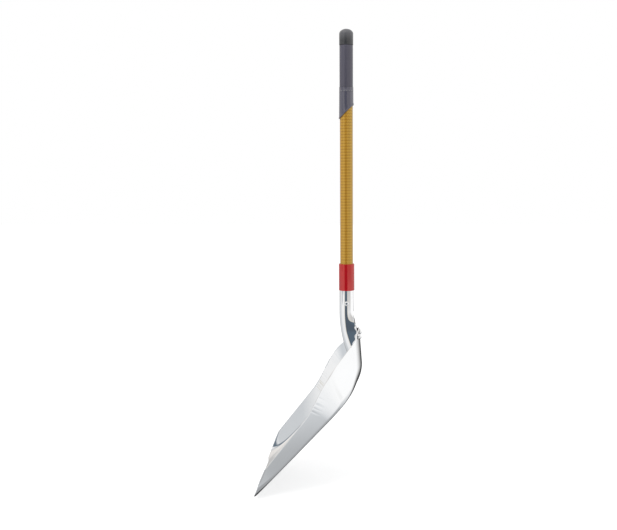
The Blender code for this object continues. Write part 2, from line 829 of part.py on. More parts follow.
def main():
    clear_scene()
    frame = bpy.data.objects.new("shovel_frame", None)
    bpy.context.scene.collection.objects.link(frame)
    pan = make_pan(frame)
    bpy.context.view_layer.update()
    wall = RearWall(pan)
    neck = make_neck(frame, wall)
    places = rivet_places(wall)
    pole = make_pole(frame)
    core = make_core(frame)
    pieces = [pan, neck, pole, core, make_cross_rivet(frame), make_collar(frame), make_cuff(frame),
              make_sleeve(frame), make_cap(frame)]
    rivet_steel = make_material("bright_rivet", (0.78, 0.78, 0.79), 0.18, 1.0)
    washer_steel = make_material("washer_steel", (0.70, 0.70, 0.71), 0.30, 1.0)
    for side, place in places.items():
        pieces.append(make_neck_rivet(f"neck_rivet_{side}", frame, place, rivet_steel))
        pieces.append(make_washer(f"rivet_washer_{side}", frame, place, washer_steel))
        hole = make_cutter(f"neck_rivet_hole_{side}", frame, NECK_RIVET_SHANK + 2 * FIT_GAP,
                           2 * NECK_RIVET_HEAD, place)
        cut(pan, hole)
        cut(neck, hole)
    cross_hole = make_cutter("cross_rivet_hole", frame, CROSS_RIVET_SHANK + 2 * FIT_GAP,
                             2 * POLE_DIAMETER, cross_rivet_place())
    for piece in (neck, pole, core):
        cut(piece, cross_hole)
    center_frame(frame, pieces)


main()
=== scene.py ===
# Scoop shovel: surfaces, fine shapes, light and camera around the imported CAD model. Lengths are in metres
# and angles in degrees. Shapes are drawn in the pole's frame, as in the part: the pole stands on the Z axis.
import math
import random

import bmesh
import bpy
from mathutils import Matrix, Vector
from mathutils.bvhtree import BVHTree


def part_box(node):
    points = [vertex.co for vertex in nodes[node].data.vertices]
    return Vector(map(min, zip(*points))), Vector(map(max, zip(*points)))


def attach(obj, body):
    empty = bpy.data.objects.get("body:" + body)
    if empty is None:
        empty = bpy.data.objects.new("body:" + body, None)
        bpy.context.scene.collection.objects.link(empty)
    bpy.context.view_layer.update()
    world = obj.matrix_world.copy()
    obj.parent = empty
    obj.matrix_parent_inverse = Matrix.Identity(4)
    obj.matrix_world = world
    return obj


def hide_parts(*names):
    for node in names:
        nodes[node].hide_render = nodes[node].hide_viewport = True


# Sizes that the shapes share with the part
FIT_GAP = 0.0003
CURVED_FIT_GAP = 0.00045
TOTAL_LENGTH = 1.000
PAN_TILT = 46.9
REAR_RIM_SETBACK = 0.0281
PAN_SHEET = 0.0016
FLOOR_HALF_WIDTH = 0.101
SIDE_LENGTH = 0.270
EDGE_BOW = 0.004
CORNER_RUN = 0.063
CORNER_START = 0.42
CORNER_POWER = 1.3
CORNER_END = 0.110
SIDE_BEND_RADIUS = 0.012
FRONT_BEND_RADIUS = 0.055
FRONT_BEND_RUN = 0.100
FRONT_NARROWING = 0.16
FRONT_WALL_ANGLE = 55.0
SIDE_WALL_ANGLE = 70.0
RIM_HEIGHT_FRONT = 0.0245
RIM_SLOPE = 0.089
RIM_SWEEP_LEAD = 0.070
RIM_SWEEP_TRAIL = 0.070
RIM_HEIGHT_REAR = 0.071
REAR_BLEND_LEAD = 0.040
REAR_PATH_RADIUS = 0.125
REAR_FLOOR_REACH = 0.032
REAR_BEND_RADIUS = 0.072
REAR_WALL_ANGLE = 47.3
FLOOR_BLEND_POWER = 1.7
EAR_RISE = 0.0107
EAR_MARGIN = 0.0010
EAR_RUNOUT = 0.016
POLE_DIAMETER = 0.028
POLE_WALL = 0.00475
POLE_SEAT = 0.005
TENON_STEP = 0.00225
NECK_SHEET = 0.0017
NECK_OPEN_LENGTH = 0.0395
SOCKET_LENGTH = 0.054
SEAM_HALF_GAP = 0.0004
UNROLL_LENGTH = 0.030
MOUTH_ROUNDING = 0.009
MOUTH_TAIL = 0.014
CHANNEL_FLANK = 0.0171
NECK_BEND_RADIUS = 0.280
WING_BEND_RADIUS = 0.0036
WING_TOP_GAP = 0.0012
WING_TOP_WIDTH = 0.004
WING_WIDTH = 0.0175
WING_END_WIDTH = 0.004
WING_SHOULDER = 0.17
NOSE_FLARE_SLOPE = 0.140
NOSE_FLARE_EASE = 0.008
NOSE_TAPER_DROP = 0.040
NOSE_TAPER_LENGTH = 0.060
NOSE_END_RADIUS = 0.007
RIDGE_END_HEIGHT = 0.0006
NECK_RIVET_DROP = 0.0135
NECK_RIVET_CLEARANCE = 0.0075
NECK_RIVET_SHANK = 0.0055
NECK_RIVET_HEAD = 0.0125
NECK_RIVET_DOME = 0.0072
NECK_RIVET_TAIL_HEAD = 0.0085
NECK_RIVET_TAIL_DOME = 0.0026
WASHER_THICKNESS = 0.0010
CROSS_RIVET_RISE = 0.018
CROSS_RIVET_SHANK = 0.0054
CROSS_RIVET_HEAD = 0.0102
CROSS_RIVET_DOME = 0.0030
COLLAR_OVERLAP = 0.0078
COLLAR_LENGTH = 0.0585
COLLAR_WALL = 0.0007
CAP_LENGTH = 0.0339
CAP_WALL = 0.00285
CAP_DOME = 0.0105
CAP_CROWN = 0.015
SLEEVE_LENGTH = 0.0876
SLEEVE_WALL = 0.00235
CUFF_LENGTH = 0.0528
CUFF_TOP_WALL = 0.00085
CUFF_LOW_WALL = 0.0013
CUFF_LIP_WALL = 0.0018
CUFF_LIP_LENGTH = 0.0032
CUFF_SHOULDER = 0.0068
CUFF_CUT_ANGLE = 43.0

# Fine shapes that only the looks have
CROSS_RIVET_CUP = 0.0026
CROSS_RIVET_CUP_DEPTH = 0.0006
SHEET_EDGE = 0.0004
CURL_RUN_LOW = 0.034
CURL_RUN_HIGH = 0.008
CURL_SLOPE_LOW = 0.010
CURL_SLOPE_HIGH = 0.060
NEAR_CREASES = (0.228, 0.262)
NEAR_CREASE_SLANT = 0.18
NEAR_CREASE_HEIGHT = 0.00028
FAR_CREASES = (0.210, 0.306)
FAR_CREASE_SLANT = 0.03
FAR_CREASE_HEIGHT = 0.00027
CREASE_SPACING = 0.0075
CREASE_WIDTH = 0.0015
CREASE_REACH = 0.034
CREASE_FADE = 0.006
CREASE_RIM_SHARE = 0.35
WEAVE_COLUMNS = 18
WEAVE_PERIOD = 0.0063
WEAVE_SWING = 1.0
WEAVE_HEIGHT = 0.00011
WEAVE_MARGIN = 0.005
WEAVE_FADE = 0.004
RING_DROP = 0.0089
RING_WIDTH = 0.0013
RING_HEIGHT = 0.00025
RING_GROOVE = 0.0003
RING_DASHES = 16
LIP_EDGE = 0.0009
LIP_RISE = 0.0012
LIP_SHOULDER = 0.0016
CUFF_TOP_EDGE = 0.0003
CAP_EDGE = 0.0006
# Depths below the top where the painted highlight on the cap sets in and where it is full
CROWN_HIGHLIGHT_LOW = 0.026
CROWN_HIGHLIGHT_HIGH = 0.003
MOULD_EDGE = 0.0008
SHARP_ANGLE = 35.0

# Steps of the fine meshes
CORNER_STEPS = 26
SIDE_STEPS = 12
CREASED_START = 0.195
CREASED_STEPS = 75
REAR_CREASED_STEPS = 50
REAR_STEPS = 56
BEND_ROWS = 9
WALL_ROWS = 18
EDGE_COLUMNS = 24
NOSE_COLUMNS = 16
FLANK_COLUMNS = 12
SPREAD_COLUMNS = 8
WING_COLUMNS = 12
CHANNEL_ROWS = 44
WING_ROWS = 52
ROUND_SEGMENTS = 96
SMALL_SEGMENTS = 48
DOME_STEPS = 10
ROUNDING_STEPS = 4
WEAVE_STEPS = 6
CREASE_STEP = 0.001
HALVINGS = 24
RIM_HALVINGS = 30
RIDGE_STEPS = 400

# Camera
IMAGE_WIDTH = 617
FOCAL_PIXELS = 800.0
SENSOR_WIDTH = 36.0
CAMERA_PITCH = 7.0
CAMERA_YAW = 4.8
CAMERA_ROLL = -0.45
CAMERA_FROM_POLE = Vector((0.0626, -1.7482, 0.7099))

# Light
METAL_TENT_LEVEL = 1.08
EVEN_LEVEL = 0.80
FLOOR_GLOW = 0.45
LAMP_POWER = 22.0
LAMP_SIZE = 1.6
LAMP_PLACE = Vector((-1.0, -1.4, 2.4))
LAMP_AIM = Vector((0.0, 0.0, 0.4))
FLOOR_REACH = 8.0
OVERHEAD_LEVEL = 0.85
SLOT_SIDE_EDGE = 1.5
SLOT_END_EDGE = 0.03

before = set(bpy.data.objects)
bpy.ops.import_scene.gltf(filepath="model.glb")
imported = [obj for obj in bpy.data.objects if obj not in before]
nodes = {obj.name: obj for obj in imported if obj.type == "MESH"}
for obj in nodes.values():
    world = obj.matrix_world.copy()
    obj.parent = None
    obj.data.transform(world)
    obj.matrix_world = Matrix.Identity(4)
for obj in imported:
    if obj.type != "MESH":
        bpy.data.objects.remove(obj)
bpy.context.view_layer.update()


def smooth(share):
    share = min(max(share, 0.0), 1.0)
    return share * share * (3.0 - 2.0 * share)


def blend(first, last, share):
    return first + (last - first) * share


def pole_axis():
    low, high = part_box("pole")
    return Vector(((low.x + high.x) / 2, (low.y + high.y) / 2, 0.0))


def finish_piece(name, bm, material, replaced):
    # Puts a piece drawn in the pole's frame in its place, in the stead of CAD nodes
    bmesh.ops.transform(bm, matrix=Matrix.Translation(pole_axis()), verts=bm.verts)
    bmesh.ops.recalc_face_normals(bm, faces=bm.faces)
    mesh = bpy.data.meshes.new(name)
    bm.to_mesh(mesh)
    bm.free()
    mesh.materials.append(material)
    mesh.shade_smooth()
    mesh.set_sharp_from_angle(angle=math.radians(SHARP_ANGLE))
    piece = bpy.data.objects.new(name, mesh)
    bpy.context.scene.collection.objects.link(piece)
    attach(piece, "root")
    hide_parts(*replaced)
    return piece


def thicken(piece, thickness, side):
    sheet = piece.modifiers.new("sheet", "SOLIDIFY")
    sheet.thickness = thickness
    sheet.offset = side
    sheet.use_even_offset = True
    edge = piece.modifiers.new("edge", "BEVEL")
    edge.width = SHEET_EDGE
    edge.segments = 2
    edge.limit_method = "ANGLE"
    edge.angle_limit = math.radians(60.0)


def turn_profile(bm, profile, segments, place=None, lean=None, relief=None):
    # Turns (radius, height) points round the Z axis, as in the part. relief adds to the radius.
    on_axis = profile[0][0] == 0.0
    rings = []
    for radius, height in profile:
        if radius == 0.0:
            rings.append([bm.verts.new((0.0, 0.0, height))])
            continue
        ring = []
        for step in range(segments):
            angle = 2.0 * math.pi * step / segments
            reach = radius + (relief(angle, radius, height) if relief else 0.0)
            x = reach * math.cos(angle)
            y = reach * math.sin(angle)
            extra = lean(x, height) if lean else 0.0
            ring.append(bm.verts.new((x, y, height + extra)))
        rings.append(ring)
    pairs = list(zip(rings, rings[1:]))
    if not on_axis:
        pairs.append((rings[-1], rings[0]))
    for upper, lower in pairs:
        for step in range(segments):
            after = (step + 1) % segments
            if len(upper) == 1:
                corners = (upper[0], lower[step], lower[after])
            elif len(lower) == 1:
                corners = (upper[step], lower[0], upper[after])
            else:
                corners = (upper[step], lower[step], lower[after], upper[after])
            bm.faces.new(corners)
    if place:
        bmesh.ops.transform(bm, matrix=place, verts=[vertex for ring in rings for vertex in ring])


def rounded(corner, before, after, radius):
    # Points of a rounded corner between its two neighbours in a profile
    corner, before, after = Vector(corner), Vector(before), Vector(after)
    start = corner + (before - corner).normalized() * radius
    end = corner + (after - corner).normalized() * radius
    points = []
    for step in range(ROUNDING_STEPS + 1):
        share = step / ROUNDING_STEPS
        place = start * (1.0 - share) ** 2 + corner * 2.0 * share * (1.0 - share) + end * share ** 2
        points.append((place.x, place.y))
    return points


def dome_points(radius, base, rise, steps):
    points = []
    for step in range(steps):
        angle = 0.5 * math.pi * step / steps
        points.append((radius * math.cos(angle), base + rise * math.sin(angle)))
    points.append((0.0, base + rise))
    return points


# Materials


def add_node(tree, kind, settings=None, **inputs):
    # Inputs are named with _ for a space, and a value may be a plain value or another node's output
    item = tree.nodes.new(kind)
    for name, value in (settings or {}).items():
        setattr(item, name, value)
    for name, value in inputs.items():
        socket = item.inputs[name.replace("_", " ")]
        if isinstance(value, bpy.types.NodeSocket):
            tree.links.new(value, socket)
        else:
            socket.default_value = value
    return item


def add_math(tree, operation, first, second=0.0, third=0.0):
    item = tree.nodes.new("ShaderNodeMath")
    item.operation = operation
    for socket, value in zip(item.inputs, (first, second, third)):
        if isinstance(value, bpy.types.NodeSocket):
            tree.links.new(value, socket)
        else:
            socket.default_value = value
    return item.outputs[0]


def add_range(tree, value, from_low, from_high, to_low, to_high, shape="LINEAR"):
    item = add_node(tree, "ShaderNodeMapRange", {"interpolation_type": shape}, Value=value,
                    From_Min=from_low, From_Max=from_high, To_Min=to_low, To_Max=to_high)
    return item.outputs["Result"]


def mix_colors(tree, factor, first, second):
    item = tree.nodes.new("ShaderNodeMix")
    item.data_type = "RGBA"
    for socket, value in ((item.inputs[0], factor), (item.inputs[6], first), (item.inputs[7], second)):
        if isinstance(value, bpy.types.NodeSocket):
            tree.links.new(value, socket)
        else:
            socket.default_value = (*value, 1.0)
    return item.outputs[2]


def add_noise(tree, place, scale, detail, stretch=None):
    if stretch:
        place = add_node(tree, "ShaderNodeMapping", None, Vector=place, Scale=stretch).outputs["Vector"]
    noise = add_node(tree, "ShaderNodeTexNoise", None, Vector=place, Scale=scale, Detail=detail)
    return noise.outputs["Fac"]


def start_material(name, color, roughness, metallic):
    material = bpy.data.materials.new(name)
    material.use_nodes = True
    tree = material.node_tree
    shader = tree.nodes["Principled BSDF"]
    shader.inputs["Base Color"].default_value = (*color, 1.0)
    shader.inputs["Roughness"].default_value = roughness
    shader.inputs["Metallic"].default_value = metallic
    place = add_node(tree, "ShaderNodeTexCoord").outputs["Object"]
    return material, tree, shader, place


def scaled(color, level):
    return tuple(part * level for part in color)


def add_bump(tree, shader, height, strength, distance):
    bump = add_node(tree, "ShaderNodeBump", None, Strength=strength, Distance=distance, Height=height)
    tree.links.new(bump.outputs["Normal"], shader.inputs["Normal"])


def lay_over(tree, shader, share, color):
    # Mixes another colour into the base colour
    plain = shader.inputs["Base Color"].links[0].from_socket
    tree.links.new(mix_colors(tree, share, plain, color), shader.inputs["Base Color"])


def add_wear(tree, shader, place, worn, share):
    # Where the mesh stands out sharply it is rubbed to another tone, in uneven patches
    edge = add_node(tree, "ShaderNodeNewGeometry").outputs["Pointiness"]
    rubbed = add_range(tree, edge, 0.53, 0.60, 0.0, share)
    patches = add_range(tree, add_noise(tree, place, 260.0, 3.0), 0.38, 0.60, 0.2, 1.0)
    lay_over(tree, shader, add_math(tree, "MULTIPLY", rubbed, patches), worn)


def polished_metal(name, color, low_roughness, high_roughness, grain):
    # Fine polishing lines and cloudy wipe marks, in the roughness, the tone and a faint unevenness
    material, tree, shader, place = start_material(name, color, low_roughness, 1.0)
    lines = add_noise(tree, place, 1.0, 5.0, grain)
    clouds = add_noise(tree, place, 24.0, 3.0)
    mixed = add_math(tree, "MULTIPLY_ADD", lines, 0.55, add_math(tree, "MULTIPLY", clouds, 0.45))
    uneven = add_range(tree, mixed, 0.35, 0.65, low_roughness, high_roughness)
    tree.links.new(uneven, shader.inputs["Roughness"])
    tone = mix_colors(tree, add_range(tree, mixed, 0.35, 0.65, 0.0, 1.0), scaled(color, 0.97), color)
    tree.links.new(tone, shader.inputs["Base Color"])
    add_wear(tree, shader, place, scaled(color, 0.82), 0.5)
    add_bump(tree, shader, mixed, 0.05, 0.0002)
    return material


def moulded_plastic(name, color, roughness, grain_scale, bump_distance, specular, tint=None):
    # Fine moulded grain and a slight unevenness of colour
    material, tree, shader, place = start_material(name, color, roughness, 0.0)
    grain = add_noise(tree, place, grain_scale, 3.0)
    clouds = add_noise(tree, place, 35.0, 2.0)
    share = add_range(tree, clouds, 0.3, 0.7, 0.0, 1.0)
    tone = mix_colors(tree, share, scaled(color, 0.93), scaled(color, 1.07))
    tree.links.new(tone, shader.inputs["Base Color"])
    uneven = add_range(tree, grain, 0.3, 0.7, roughness * 0.9, roughness * 1.1)
    tree.links.new(uneven, shader.inputs["Roughness"])
    add_bump(tree, shader, grain, 0.5, bump_distance)
    shader.inputs["Specular IOR Level"].default_value = specular
    if tint:
        # Light that enters the glossy skin comes back coloured
        shader.inputs["IOR"].default_value = 1.8
        shader.inputs["Specular Tint"].default_value = (*tint, 1.0)
    add_wear(tree, shader, place, scaled(color, 1.35), 0.6)
    return material


def turned_place(tree, place):
    # The angle round the pole and the height, from the object's own coordinates
    middle = pole_axis()
    parts = add_node(tree, "ShaderNodeSeparateXYZ", None, Vector=place).outputs
    across = add_math(tree, "SUBTRACT", parts["Y"], middle.y)
    along = add_math(tree, "SUBTRACT", parts["X"], middle.x)
    return add_math(tree, "ARCTAN2", across, along), parts["Z"]


def ringed_rubber(name, color, roughness):
    # Moulded rubber with a raised ring whose dashes carry a painted highlight in a lighter colour
    material = moulded_plastic(name, color, roughness, 1500.0, 0.0001, 1.0)
    tree = material.node_tree
    shader = tree.nodes["Principled BSDF"]
    shader.inputs["IOR"].default_value = 1.6
    angle, height = turned_place(tree, add_node(tree, "ShaderNodeTexCoord").outputs["Object"])
    ring = cuff_top() - RING_DROP + RING_WIDTH / 2
    off_ring = add_math(tree, "ABSOLUTE", add_math(tree, "SUBTRACT", height, ring))
    on_ring = add_range(tree, off_ring, RING_WIDTH * 0.5, RING_WIDTH * 0.8, 1.0, 0.0)
    wave = add_math(tree, "SINE", add_math(tree, "MULTIPLY", angle, float(RING_DASHES)))
    painted_ring_highlight = add_math(tree, "MULTIPLY", add_range(tree, wave, -0.4, 0.1, 0.0, 1.0), on_ring)
    # Painted highlight: the ring's dashes are mixed to a lighter colour, where the raised bead catches the
    # light
    lay_over(tree, shader, painted_ring_highlight, (0.15, 0.145, 0.16))
    return material


def resin_fibre(name, light, dark, roughness):
    # Wound fibres under clear resin: zigzag rows in two ochres, and fine streaks along the pole
    material, tree, shader, place = start_material(name, light, roughness, 0.0)
    fibres = add_noise(tree, place, 1.0, 4.0, (900.0, 900.0, 14.0))
    angle, height = turned_place(tree, place)
    round_wave = add_math(tree, "COSINE", add_math(tree, "MULTIPLY", angle, float(WEAVE_COLUMNS)))
    long_turn = add_math(tree, "MULTIPLY", height, 2.0 * math.pi / WEAVE_PERIOD)
    weave = add_math(tree, "COSINE", add_math(tree, "MULTIPLY_ADD", round_wave, WEAVE_SWING, long_turn))
    margin = collar_top() + WEAVE_MARGIN
    woven = add_range(tree, height, margin, margin + WEAVE_FADE, 0.0, 1.0)
    shade = add_math(tree, "MULTIPLY_ADD", add_math(tree, "MULTIPLY", weave, woven), 0.5, 0.5)
    tone = mix_colors(tree, add_range(tree, shade, 0.25, 0.75, 0.0, 1.0), dark, light)
    streaked = mix_colors(tree, add_range(tree, fibres, 0.35, 0.65, 0.0, 0.25), tone, scaled(light, 1.1))
    tree.links.new(streaked, shader.inputs["Base Color"])
    add_bump(tree, shader, fibres, 0.10, 0.0001)
    shader.inputs["IOR"].default_value = 1.8
    shader.inputs["Specular IOR Level"].default_value = 1.0
    shader.inputs["Specular Tint"].default_value = (1.0, 0.88, 0.34, 1.0)
    return material


def plastic_with_painted_crown_highlight(name, color, crown_highlight, roughness):
    # Moulded plastic with a painted highlight: the base colour turns lighter towards the crown, where light
    # from above falls
    material = moulded_plastic(name, color, roughness, 1500.0, 0.00008, 0.8)
    tree = material.node_tree
    shader = tree.nodes["Principled BSDF"]
    place = add_node(tree, "ShaderNodeTexCoord").outputs["Object"]
    height = add_node(tree, "ShaderNodeSeparateXYZ", None, Vector=place).outputs["Z"]
    uneven = add_math(tree, "MULTIPLY_ADD", add_noise(tree, place, 220.0, 4.0), 0.004, height)
    low = TOTAL_LENGTH - CROWN_HIGHLIGHT_LOW
    high = TOTAL_LENGTH - CROWN_HIGHLIGHT_HIGH
    # Painted highlight: the base colour is mixed to a lighter tone over the top of the cap
    lay_over(tree, shader, add_range(tree, uneven, low, high, 0.0, 1.0, "SMOOTHSTEP"), crown_highlight)
    return material


def turned_wood(name, color, roughness):
    # Growth rings and pores of the hidden plug
    material, tree, shader, place = start_material(name, color, roughness, 0.0)
    rings = add_noise(tree, place, 1.0, 3.0, (600.0, 600.0, 20.0))
    share = add_range(tree, rings, 0.35, 0.65, 0.0, 1.0)
    tone = mix_colors(tree, share, scaled(color, 0.7), scaled(color, 1.2))
    tree.links.new(tone, shader.inputs["Base Color"])
    add_bump(tree, shader, rings, 0.3, 0.0003)
    return material


# Pan


def tilted(along, height):
    tilt = math.radians(PAN_TILT)
    reach = along + EDGE_BOW
    return reach * math.cos(tilt) - height * math.sin(tilt), reach * math.sin(tilt) + height * math.cos(tilt)


def rear_path_end():
    return SIDE_LENGTH + REAR_PATH_RADIUS * math.pi / 2


def wall_shape(path, turn):
    # Floor reach, bend radius, wall angle and rim height where the rim path has this length and turn
    blend_start = SIDE_LENGTH - REAR_BLEND_LEAD
    rear = smooth((path - blend_start) / (rear_path_end() - blend_start))
    reach = REAR_FLOOR_REACH + (FLOOR_HALF_WIDTH - REAR_FLOOR_REACH) * (1.0 - rear) ** FLOOR_BLEND_POWER
    side_radius = blend(SIDE_BEND_RADIUS, FRONT_BEND_RADIUS, max(0.0, 1.0 - path / FRONT_BEND_RUN) ** 3)
    radius = blend(side_radius, REAR_BEND_RADIUS, rear)
    side_angle = blend(FRONT_WALL_ANGLE, SIDE_WALL_ANGLE, min(path / SIDE_LENGTH, 1.0))
    angle = math.radians(blend(side_angle, REAR_WALL_ANGLE, rear))
    reach -= FRONT_NARROWING * (side_radius - SIDE_BEND_RADIUS)
    sweep = smooth((path - SIDE_LENGTH + RIM_SWEEP_LEAD) / (RIM_SWEEP_LEAD + RIM_SWEEP_TRAIL))
    rim = blend(RIM_HEIGHT_FRONT + RIM_SLOPE * path, RIM_HEIGHT_REAR, sweep)
    rim_reach = reach + radius * math.sin(angle) + (rim - radius * (1.0 - math.cos(angle))) / math.tan(angle)
    ear = 1.0 - smooth((rim_reach * math.cos(turn) - rivet_spread() - EAR_MARGIN) / EAR_RUNOUT)
    rim += EAR_RISE * math.sin(angle) * ear
    return reach, radius, angle, rim


def press_creases(seed, ends, slant, height):
    # The creases that the press leaves in the walls: place on the rim path, slant, height and width of each
    dice = random.Random(seed)
    creases = []
    path, last = ends
    while path < last:
        creases.append((path, slant, height * dice.uniform(0.5, 1.25) * dice.choice((-1.0, 1.0, 1.0)),
                        CREASE_WIDTH * dice.uniform(0.75, 1.3)))
        path += CREASE_SPACING * dice.uniform(0.7, 1.25)
    return creases


def crease_height(creases, path, depth):
    # Creases start at the rim, lean towards the rear as they go down, and run out
    fade = smooth(depth / CREASE_FADE + CREASE_RIM_SHARE) * (1.0 - smooth(depth / CREASE_REACH))
    total = 0.0
    for place, slant, height, width in creases:
        offset = (path - place - slant * depth) / width
        total += height * math.exp(-offset * offset)
    return total * fade


def wall_station(path, turn=0.0, creases=()):
    # Points up the wall at this place of the rim path, as (distance out, height, share of the girth)
    reach, radius, angle, rim = wall_shape(path, turn)
    bend_length = radius * angle
    straight = (rim - radius * (1.0 - math.cos(angle))) / math.sin(angle)
    girth = bend_length + straight
    points = []
    for row in range(BEND_ROWS + 1):
        part = angle * row / BEND_ROWS
        push = crease_height(creases, path, girth - radius * part)
        points.append(((radius - push) * math.sin(part) + reach, radius - (radius - push) * math.cos(part),
                       radius * part / girth))
    for row in range(1, WALL_ROWS + 1):
        part = straight * row / WALL_ROWS
        push = crease_height(creases, path, straight - part)
        points.append((reach + radius * math.sin(angle) + part * math.cos(angle) - push * math.sin(angle),
                       radius * (1.0 - math.cos(angle)) + part * math.sin(angle) + push * math.cos(angle),
                       (bend_length + part) / girth))
    return points


def corner_cut(girth):
    # How far back the front corner of a wall is cut at this share of its girth
    return CORNER_RUN * max(0.0, (girth - CORNER_START) / (1.0 - CORNER_START)) ** CORNER_POWER


def front_half_width():
    # Half the length of the cutting edge, which runs up into the walls as far as the cut
    return next(out for out, _, girth in wall_station(0.0) if girth >= CORNER_START)


def front_edge(across):
    return -EDGE_BOW * max(0.0, 1.0 - (across / front_half_width()) ** 2)


def corner_start(row):
    # Where a row of the wall meets the cut or the bowed cutting edge
    low, high = 0.0, CORNER_RUN
    for _ in range(HALVINGS):
        along = (low + high) / 2
        if along < corner_cut(wall_station(along)[row][2]):
            low = along
        else:
            high = along
    return high if wall_station(0.0)[row][2] > CORNER_START else front_edge(wall_station(0.0)[row][0])


def curl(distance, path, out, up, girth):
    # The cut front edge of a wall curls outward a little
    run = blend(CURL_RUN_LOW, CURL_RUN_HIGH, girth)
    slope = blend(CURL_SLOPE_LOW, CURL_SLOPE_HIGH, smooth((girth - 0.7) / 0.3))
    rise = slope * run * max(0.0, 1.0 - distance / run) ** 2 * smooth((girth - 0.3) / 0.3)
    angle = wall_shape(path, 0.0)[2]
    return out + rise * math.sin(angle), up - rise * math.cos(angle)


def rim_middle():
    out, up, _ = wall_station(rear_path_end(), math.pi / 2)[-1]
    return tilted(SIDE_LENGTH + out, up)


def rim_top():
    return rim_middle()[1]


def spaced(first, last, count):
    return [blend(first, last, step / count) for step in range(count)]


def pan_half(creases):
    # Stations of one half of the pan, from the front corner to the middle of the rear, as (along, out, up)
    stations = []
    starts = [corner_start(row) for row in range(BEND_ROWS + WALL_ROWS + 1)]
    for step in range(CORNER_STEPS):
        share = (step / CORNER_STEPS) ** 1.5
        station = []
        for row, start in enumerate(starts):
            along = blend(start, CORNER_END, share)
            path = max(0.0, along)
            station.append((along, *curl(along - start, path, *wall_station(path)[row])))
        stations.append(station)
    paths = spaced(CORNER_END, CREASED_START, SIDE_STEPS) + spaced(CREASED_START, SIDE_LENGTH, CREASED_STEPS)
    for along in paths:
        stations.append([(along, out, up) for out, up, _ in wall_station(along, 0.0, creases)])
    creased_turn = REAR_CREASED_STEPS * CREASE_STEP / REAR_PATH_RADIUS
    turns = spaced(0.0, creased_turn, REAR_CREASED_STEPS)
    turns += spaced(creased_turn, math.pi / 2, REAR_STEPS) + [math.pi / 2]
    for turn in turns:
        points = wall_station(SIDE_LENGTH + REAR_PATH_RADIUS * turn, turn, creases)
        stations.append([(SIDE_LENGTH + out * math.sin(turn), out * math.cos(turn), up)
                         for out, up, _ in points])
    return stations


def make_pan(material):
    bm = bmesh.new()
    shift = REAR_RIM_SETBACK - rim_middle()[0]

    def place(along, across, height):
        x, z = tilted(along, height)
        return bm.verts.new((x + shift, across, z))

    near_half = pan_half(press_creases(11, NEAR_CREASES, NEAR_CREASE_SLANT, NEAR_CREASE_HEIGHT))
    far_half = pan_half(press_creases(23, FAR_CREASES, FAR_CREASE_SLANT, FAR_CREASE_HEIGHT))[:-1]
    near = [[place(along, -out, up) for along, out, up in station] for station in near_half]
    far = [[place(along, out, up) for along, out, up in station] for station in far_half]
    lines = near + far[::-1]
    for line, after in zip(lines, lines[1:]):
        for low in range(len(line) - 1):
            bm.faces.new((line[low], after[low], after[low + 1], line[low + 1]))
    front = []
    reach = wall_shape(0.0, 0.0)[0]
    for column in range(1, EDGE_COLUMNS):
        across = blend(-reach, reach, column / EDGE_COLUMNS)
        front.append(place(front_edge(across), across, 0.0))
    bm.faces.new([near[0][0], *front, far[0][0], far[1][0], near[1][0]])
    rear_start = CORNER_STEPS + SIDE_STEPS + CREASED_STEPS
    for step in range(1, rear_start):
        bm.faces.new((near[step][0], far[step][0], far[step + 1][0], near[step + 1][0]))
    rear_line = [station[0] for station in near[rear_start:]]
    rear_line += [station[0] for station in far[rear_start:][::-1]]
    bm.faces.new(rear_line[::-1])
    pan = finish_piece("pan_sheet", bm, material, ["scoop_pan"])
    thicken(pan, PAN_SHEET, -1.0)
    return pan


class RearWall:
    # The inner face of the pan, as a neck that lies on it needs it
    def __init__(self, pan):
        self.tree = BVHTree.FromObject(pan, bpy.context.evaluated_depsgraph_get())

    def meet(self, across, height):
        start = pole_axis() + Vector((-TOTAL_LENGTH, across, height))
        place, normal, _, _ = self.tree.ray_cast(start, Vector((1.0, 0.0, 0.0)))
        return place - pole_axis(), normal

    def inside(self, across, height):
        return self.meet(across, height)[0].x


# Neck


def socket_radius():
    return POLE_DIAMETER / 2 + FIT_GAP


def tenon_radius():
    return POLE_DIAMETER / 2 - TENON_STEP


def rivet_spread():
    return socket_radius() + WING_BEND_RADIUS + NECK_RIVET_CLEARANCE


def socket_end():
    return rim_top() + NECK_OPEN_LENGTH


def socket_top():
    return socket_end() + SOCKET_LENGTH


def pole_bottom():
    return socket_end() + POLE_SEAT


def neck_front(height):
    drop = max(0.0, socket_end() - height)
    return -socket_radius() + NECK_BEND_RADIUS - math.sqrt(NECK_BEND_RADIUS ** 2 - drop ** 2)


def follow_arc(x, y, heading, length, turning, count):
    points = []
    step = length / count
    for index in range(count):
        middle = heading + turning * (index + 0.5) / count
        x += step * math.cos(middle)
        y += step * math.sin(middle)
        points.append((x, y))
    return points, heading + turning


def nose_half(front, radius, opening, count=NOSE_COLUMNS):
    points = []
    for column in range(count + 1):
        angle = opening * column / count
        points.append((front + radius * (1.0 - math.cos(angle)), radius * math.sin(angle)))
    return points


def socket_half():
    radius = socket_radius()
    points = nose_half(-radius, radius, math.pi / 2)
    seam = math.asin(SEAM_HALF_GAP / radius)
    count = FLANK_COLUMNS + SPREAD_COLUMNS
    for column in range(1, count + 1):
        angle = math.pi / 2 + (math.pi / 2 - seam) * column / count
        points.append((-radius * math.cos(angle), radius * math.sin(angle)))
    return points


def nose_radius(height):
    # Below the rim the ridge first widens, at a slope that sets in gently, and then narrows to its end
    drop = max(0.0, rim_top() - height)
    eased = min(drop, NOSE_FLARE_EASE)
    widened = socket_radius() + NOSE_FLARE_SLOPE * (drop - eased + eased ** 2 / (2.0 * NOSE_FLARE_EASE))
    taper = smooth((drop - NOSE_TAPER_DROP) / NOSE_TAPER_LENGTH)
    return blend(widened, NOSE_END_RADIUS, taper)


